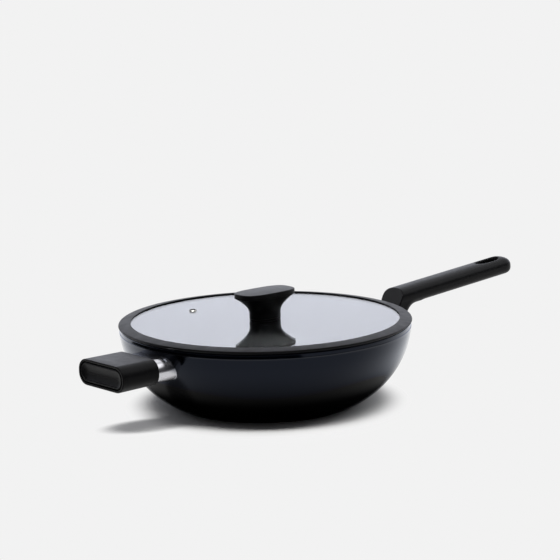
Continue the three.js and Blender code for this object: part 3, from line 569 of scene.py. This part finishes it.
collar_bottom = LONG_HEIGHT - COLLAR_THICKNESS / 2
slope, steep = tan(LONG_RISE), tan(FACET_LEAN)
under = LONG_THICKNESS / 2 / cos(LONG_RISE)
heel_x = facet_at(collar_bottom) + NECK_THICKNESS / sin(FACET_LEAN)
bend_x = (steep * heel_x - collar_bottom + grip_axis(0) - under) / (steep - slope)
bend_z = grip_axis(bend_x) - under
fade_x = bend_x + NECK_BEND + NECK_RUNOUT
front = 2 * NECK_EDGE / sin(FACET_LEAN)
top_x = facet_at(LONG_HEIGHT + GRIP_LIFT) - front
neck_outline = filleted([
    (facet_at(collar_bottom) - front, collar_bottom, 0), (heel_x, collar_bottom, NECK_HEEL),
    (bend_x, bend_z, NECK_BEND), (bend_x + NECK_BEND, bend_z + NECK_BEND * slope, 0),
    (fade_x, grip_axis(fade_x) - NECK_EDGE, 0), (fade_x, grip_axis(fade_x) + NECK_EDGE, 0),
    (top_x, grip_axis(top_x) + NECK_EDGE, 0)])
tip = [LONG_END - LONG_TIP + LONG_TIP * sin(t) for t in np.linspace(0, pi / 2 * TIP_SWEEP, 16)]
shares = [(1 - ((x - LONG_END + LONG_TIP) / LONG_TIP) ** TIP_POWER) ** (1 / TIP_POWER) for x in tip]
grip_start = facet_at(LONG_HEIGHT + GRIP_LIFT) - LONG_THICKNESS / 2
grip = solid("long_grip", [grip_ring(grip_start), grip_ring(GRIP_MIDDLE)]
             + [grip_ring(x, s) for x, s in zip(tip, shares)])
combine(grip, solid("neck", across_y(neck_outline, LONG_WIDTH - 2 * NECK_INSET, NECK_EDGE)), "UNION")
low, high = collar_bottom - 20, LONG_HEIGHT + GRIP_LIFT + 40
half_space = [(90, low), (facet_at(low), low), (facet_at(high), high), (90, high)]
combine(grip, solid("facet", across_y(half_space, 80)), "DIFFERENCE")
collar = rounded(LONG_WIDTH - 4 * NECK_INSET, COLLAR_THICKNESS - 2 * NECK_INSET, NECK_EDGE)
collar_end = facet_at(LONG_HEIGHT + COLLAR_THICKNESS / 2) + 0.6
combine(grip, solid("collar", [along_x(collar, x, LONG_HEIGHT) for x in (LONG_START, collar_end)]), "UNION")
bore = oval(LONG_BORE, LONG_BORE, 2, 40)
bore_rings = [[(LONG_SCREW_X + x, y, z) for x, y in bore] for z in LONG_BORE_HEIGHTS]
combine(grip, solid("bore", bore_rings), "DIFFERENCE")


def slot_ring(rise, widen):
    shape = oval(SLOT_SIZE[0] + 2 * widen, SLOT_SIZE[1] + 2 * widen, SLOT_POWER, 64)
    c, s = cos(LONG_RISE), sin(LONG_RISE)
    return [(SLOT_X + c * x - s * rise, y, grip_axis(SLOT_X) + s * x + c * rise) for x, y in shape]


half = LONG_THICKNESS / 2
slot_rings = [slot_ring(-2 * half, SLOT_CHAMFER + half), slot_ring(SLOT_CHAMFER - half, 0),
              slot_ring(half - SLOT_CHAMFER, 0), slot_ring(2 * half, SLOT_CHAMFER + half)]
combine(grip, solid("slot", slot_rings), "DIFFERENCE")
remesh = grip.modifiers.new("remesh", "REMESH")
remesh.mode, remesh.voxel_size = "VOXEL", VOXEL * MM
soften = grip.modifiers.new("soften", "SMOOTH")
soften.factor, soften.iterations = SOFTENING
bake(grip)
shade(grip.data, 60)
grip.data.materials.append(FACET_PAINTED_LIGHT)
facet_normal = Vector((-sin(FACET_LEAN), 0, cos(FACET_LEAN)))
# Faces on the facet take the paler phenolic, a painted highlight.
for face in grip.data.polygons:
    x, _, z = face.center / MM
    lean = face.normal.dot(facet_normal)
    if z > LONG_HEIGHT + COLLAR_THICKNESS / 2 and x < facet_at(z) + FACET_BAND:
        face.material_index = 1 if lean > FACET_FACING else 0
grip.visible_shadow = False
place(grip, "pan", "phenolic", "long_handle_grip")


# Lid

skirt = wall_at(SEAT_HEIGHT - SKIRT_DEPTH, -WALL) - SKIRT_GAP
ring_profile = [
    (skirt, SEAT_HEIGHT),
    (RING_RADIUS - 1.7, SEAT_HEIGHT), (RING_RADIUS - 0.15, SEAT_HEIGHT + 1.55),
    *arc(RING_RADIUS - RING_ROUND, RING_EDGE_TOP - RING_ROUND, RING_ROUND, 0, 83, 10),
    *arc(RING_INNER + RING_LIP, RING_TOP - RING_LIP, RING_LIP, 83, 180, 8),
    (RING_INNER, GLASS_TOP + FIT), (skirt - GLASS_SEAT, GLASS_TOP + FIT),
    (skirt - GLASS_SEAT, GLASS_BOTTOM - FIT), (skirt - SKIRT_FOOT, GLASS_BOTTOM - FIT),
    (skirt - SKIRT_FOOT, GLASS_BOTTOM - FIT - 0.8),
    (skirt - 1.6, SKIRT_BOTTOM), (skirt, SKIRT_BOTTOM), (skirt, SEAT_HEIGHT),
]
place(add("seal_ring", *lathe(ring_profile), SILICONE, sharp=40), "lid", "silicone", "lid_seal_ring")

vent_at = (VENT[0] * cos(VENT[1]), VENT[0] * sin(VENT[1]))
head = GLASS_TOP + VENT_GAP
flange, flange_low = VENT_FLANGE[0], GLASS_BOTTOM - VENT_FLANGE[1]
vent_profile = [
    (VENT_BORE, flange_low), (flange, flange_low), (flange, GLASS_BOTTOM - FIT),
    (VENT_STEM, GLASS_BOTTOM - FIT),
    (VENT_STEM, head), (VENT_COLLAR[0], head), (VENT_COLLAR[1], head + VENT_BEAD),
    (VENT_COLLAR[2], head + VENT_BEAD), (VENT_BORE, head - VENT_MOUTH), (VENT_BORE, flange_low),
]
vent = add("vent", *lathe(vent_profile, 48, vent_at), EYELET)
# The steel eyelet's mouth and bore take near-black phenolic: painted shade in the hole.
vent.data.materials.append(PHENOLIC)
vent_axis = Vector((vent_at[0], vent_at[1], 0)) * MM
for face in vent.data.polygons:
    if face.normal.dot(vent_axis - face.center.to_2d().to_3d()) > 0:
        face.material_index = 1
place(vent, "lid", "steel", "vent_eyelet")


def knob_ring(z, flare, inset=0.0):
    mix = [a + (b - a) * flare for a, b in zip((*KNOB_NECK, KNOB_POWER[0]), (*KNOB_SIZE, KNOB_POWER[1]))]
    shape = oval(mix[0] - 2 * inset, mix[1] - 2 * inset, mix[2], 112)
    return turned([(x, y, z) for x, y in shape], LID_TURN)


knob_rings = [knob_ring(KNOB_BOTTOM, 0, 0.3), knob_ring(KNOB_BOTTOM + 0.3, 0)]
for t in np.linspace(0, 1, 33):
    z = KNOB_FLARE[0] * (1 - t) ** 2 + KNOB_FLARE[1] * 2 * t * (1 - t) + KNOB_FLARE[2] * t ** 2
    knob_rings.append(knob_ring(z, t ** 2))
knob_rings += [knob_ring(KNOB_TOP - 1 + sin(t), 1, 1 - cos(t)) for t in np.linspace(0, pi / 2, 9)]
place(add("knob", *loft(knob_rings), PHENOLIC), "lid", "phenolic", "knob_grip")

pad_rings = [knob_ring(GLASS_TOP + 0.1, 0, 0.1), knob_ring(KNOB_BOTTOM - 0.1, 0, 0.1)]
place(add("knob_pad", *loft(pad_rings), SILICONE), "lid", "silicone", "knob_gasket")


def plate_edge(size, top):
    """The rounded lower edge of a round plate."""
    radius, thickness, rounding = size
    return arc(radius - rounding, top - thickness + rounding, rounding, -90, 0, 4)


gasket_top = GLASS_BOTTOM - FIT
gasket = [(KNOB_BORE, gasket_top - GASKET[1]), *plate_edge(GASKET, gasket_top), (GASKET[0], gasket_top),
          (KNOB_STEM, gasket_top), (KNOB_STEM, GLASS_TOP), (KNOB_BORE, GLASS_TOP),
          (KNOB_BORE, gasket_top - GASKET[1])]
place(add("lower_gasket", *lathe(gasket, 64), SILICONE), "lid", "silicone", "knob_lower_gasket")
washer_top = gasket_top - WASHER_DROP
washer = [(KNOB_BORE, washer_top - WASHER[1]), *plate_edge(WASHER, washer_top), (WASHER[0], washer_top),
          (KNOB_BORE, washer_top), (KNOB_BORE, washer_top - WASHER[1])]
place(add("knob_plate", *lathe(washer, 64), STEEL), "lid", "steel", "knob_washer")


# Stage

BACKDROP = (0.888, 0.888, 0.888)
SHADOW_EDGE = (110, 141)           # from the pan's axis
TONGUE_AT = (-138, 11)             # shadow of the helper handle
TONGUE_SIZE = (46, 24)
TONGUE_TURN = radians(-20)
FLOOR_SIZE = 40.0                  # metres
FLOOR_DROP = 0.0004
FLOOR_COLOR = (0.785, 0.783, 0.775)
FLAG_RADII = (0.40, 0.90)          # metres
FLAG_SPAN = (-24, 113)             # degrees, from the middle of the front to the left
FLAG_STEPS = 27
FLAG_LIFT = 0.0005


def stage_floor():
    """A pale floor that takes the shadow near the pan and runs out into the plain backdrop."""
    corners = [(x * FLOOR_SIZE, y * FLOOR_SIZE, -FLOOR_DROP) for x, y in ((-1, -1), (1, -1), (1, 1), (-1, 1))]
    mesh = bpy.data.meshes.new("floor")
    mesh.from_pydata(corners, [], [(0, 1, 2, 3)])
    obj = bpy.data.objects.new("floor", mesh)
    bpy.context.collection.objects.link(obj)
    paint = surface("floor_paint", FLOOR_COLOR, FLOOR_COLOR, (0.9, 0.9), mottle=2, Specular_IOR_Level=0.0)
    mesh.materials.append(paint)
    tree = paint.node_tree
    n = Nodes(tree)
    spot = n.node("TexCoord", "Object")
    away = n.node("VectorMath", "Value", spot, operation="LENGTH")
    past_pan = n.fade(away, SHADOW_EDGE[0] * MM, SHADOW_EDGE[1] * MM)
    centre = Vector((TONGUE_AT[0] * MM, TONGUE_AT[1] * MM, 0))
    turns = (TONGUE_TURN, TONGUE_TURN + pi / 2)
    axes = [Vector((cos(a), sin(a), 0)) / (s * MM) for a, s in zip(turns, TONGUE_SIZE)]
    offset = n.vector("SUBTRACT", spot, centre)
    squares = [n.math("POWER", n.dot(offset, axis), 2.0) for axis in axes]
    past_tongue = n.fade(n.math("ADD", *squares), 0.35, 1.5, 0.15, 1.0)
    path = tree.nodes.new("ShaderNodeLightPath")
    seen = n.math("MAXIMUM", path.outputs["Is Camera Ray"],
                  n.math("MAXIMUM", path.outputs["Is Glossy Ray"], path.outputs["Is Transmission Ray"]))
    share = n.math("MULTIPLY", seen, n.math("MULTIPLY", past_pan, past_tongue))
    glow = n.node("Emission", "Emission", (*BACKDROP, 1), 1.0)
    mixed = n.node("MixShader", "Shader", share, tree.nodes["Principled BSDF"].outputs["BSDF"], glow)
    tree.links.new(mixed, tree.nodes["Material Output"].inputs["Surface"])


def stage_flag():
    """A black card on the floor before the pan, seen only in reflections."""
    points = []
    row = FLAG_STEPS + 1
    for radius in FLAG_RADII:
        for a in np.radians(np.linspace(*FLAG_SPAN, row)):
            points.append(tuple((-BACK * cos(a) - RIGHT * sin(a)) * radius + Vector((0, 0, FLAG_LIFT))))
    faces = [(i, i + 1, i + 1 + row, i + row) for i in range(FLAG_STEPS)]
    mesh = bpy.data.meshes.new("flag")
    mesh.from_pydata(points, [], faces)
    mesh.materials.append(surface("flag_cloth", (0.002, 0.002, 0.002), (0.003, 0.003, 0.003), (0.9, 0.9),
                                  Specular_IOR_Level=0.0))
    obj = bpy.data.objects.new("flag", mesh)
    bpy.context.collection.objects.link(obj)
    obj.visible_camera = obj.visible_diffuse = obj.visible_shadow = obj.visible_transmission = False


stage_floor()
stage_flag()

KEY = (Vector((0, 0, 1)) - BACK * 0.46).normalized()
KEY_SIDE = (RIGHT - KEY * RIGHT.dot(KEY)).normalized()
KEY_LENGTH = KEY.cross(KEY_SIDE)
KEY_SPREAD = (0.5, 0.14)
KEY_COLOR = (12.4, 12.4, 12.3)
SIDE = (RIGHT * 0.75 + BACK * 0.12 + Vector((0, 0, 0.65))).normalized()
SIDE_COLOR = (1.3, 1.3, 1.3)
TOP = (RIGHT * 0.28 + BACK * 0.5 + Vector((0, 0, 0.82))).normalized()
TOP_COLOR = (0.8, 0.8, 0.81)
PANEL_COLOR = (1.18, 1.215, 1.345)
SKY_COLOR = (0.06, 0.06, 0.063)

world = bpy.data.worlds.new("studio")
scene.world = world
world.use_nodes = True
n = Nodes(world.node_tree)
ray = n.node("TexCoord", "Generated")
height = n.dot(ray, (0, 0, 1))
reach = n.math("ADD", n.math("POWER", n.dot(ray, KEY_SIDE / KEY_SPREAD[0]), 2.0),
               n.math("POWER", n.dot(ray, KEY_LENGTH / KEY_SPREAD[1]), 2.0))
lamps = [
    (KEY_COLOR, n.math("MULTIPLY", n.fade(reach, 0.75, 1.3, 1.0, 0.0), n.fade(n.dot(ray, KEY), 0.0, 0.1))),
    (SIDE_COLOR, n.fade(n.dot(ray, SIDE), 0.93, 0.97)),
    (TOP_COLOR, n.fade(n.dot(ray, TOP), 0.93, 0.97)),
    (PANEL_COLOR, n.math("MULTIPLY", n.fade(n.dot(ray, BACK), 0.1, 0.6),
                         n.fade(height, 0.42, 0.6, 1.0, 0.0))),
    (SKY_COLOR, n.fade(height, 0.2, 1.0, 1.0, 6.0)),
]
light = (0, 0, 0)
for color, share in lamps:
    light = n.vector("ADD", light, n.scaled(color, share))
n.tree.links.new(light, n.tree.nodes["Background"].inputs["Color"])


# Camera

def turn(axis, angle):
    return np.array(Matrix.Rotation(angle, 3, axis))


VIEW_DISTANCE = 1952.6
VIEW_ELEVATION = radians(11.945)
VIEW_ROLL = radians(1.443)
VIEW_HEIGHT = 82.5
FOCAL_PIXELS = 1982.968
AIM_PIXEL = (265.2, 319.16)
IMAGE = 560
yaw = atan((AIM_PIXEL[0] - IMAGE / 2) / FOCAL_PIXELS)
pitch = atan((AIM_PIXEL[1] - IMAGE / 2) / FOCAL_PIXELS)
towards = (BACK * cos(VIEW_ELEVATION) - Vector((0, 0, 1)) * sin(VIEW_ELEVATION))
upwards = RIGHT.cross(towards)
facing_axes = np.array([RIGHT, -upwards, towards])
axes = turn("X", -pitch) @ turn("Y", yaw) @ turn("Z", -VIEW_ROLL) @ facing_axes
spot = Vector((0, 0, VIEW_HEIGHT)) - towards * VIEW_DISTANCE
cam = bpy.data.cameras.new("camera")
cam.sensor_width = 36
cam.lens = FOCAL_PIXELS / IMAGE * cam.sensor_width
cam.clip_end = 100
cam_obj = bpy.data.objects.new("camera", cam)
bpy.context.collection.objects.link(cam_obj)
pose = Matrix((axes[0], -axes[1], -axes[2])).transposed().to_4x4()
pose.translation = spot * MM
cam_obj.matrix_world = pose
scene.camera = cam_obj
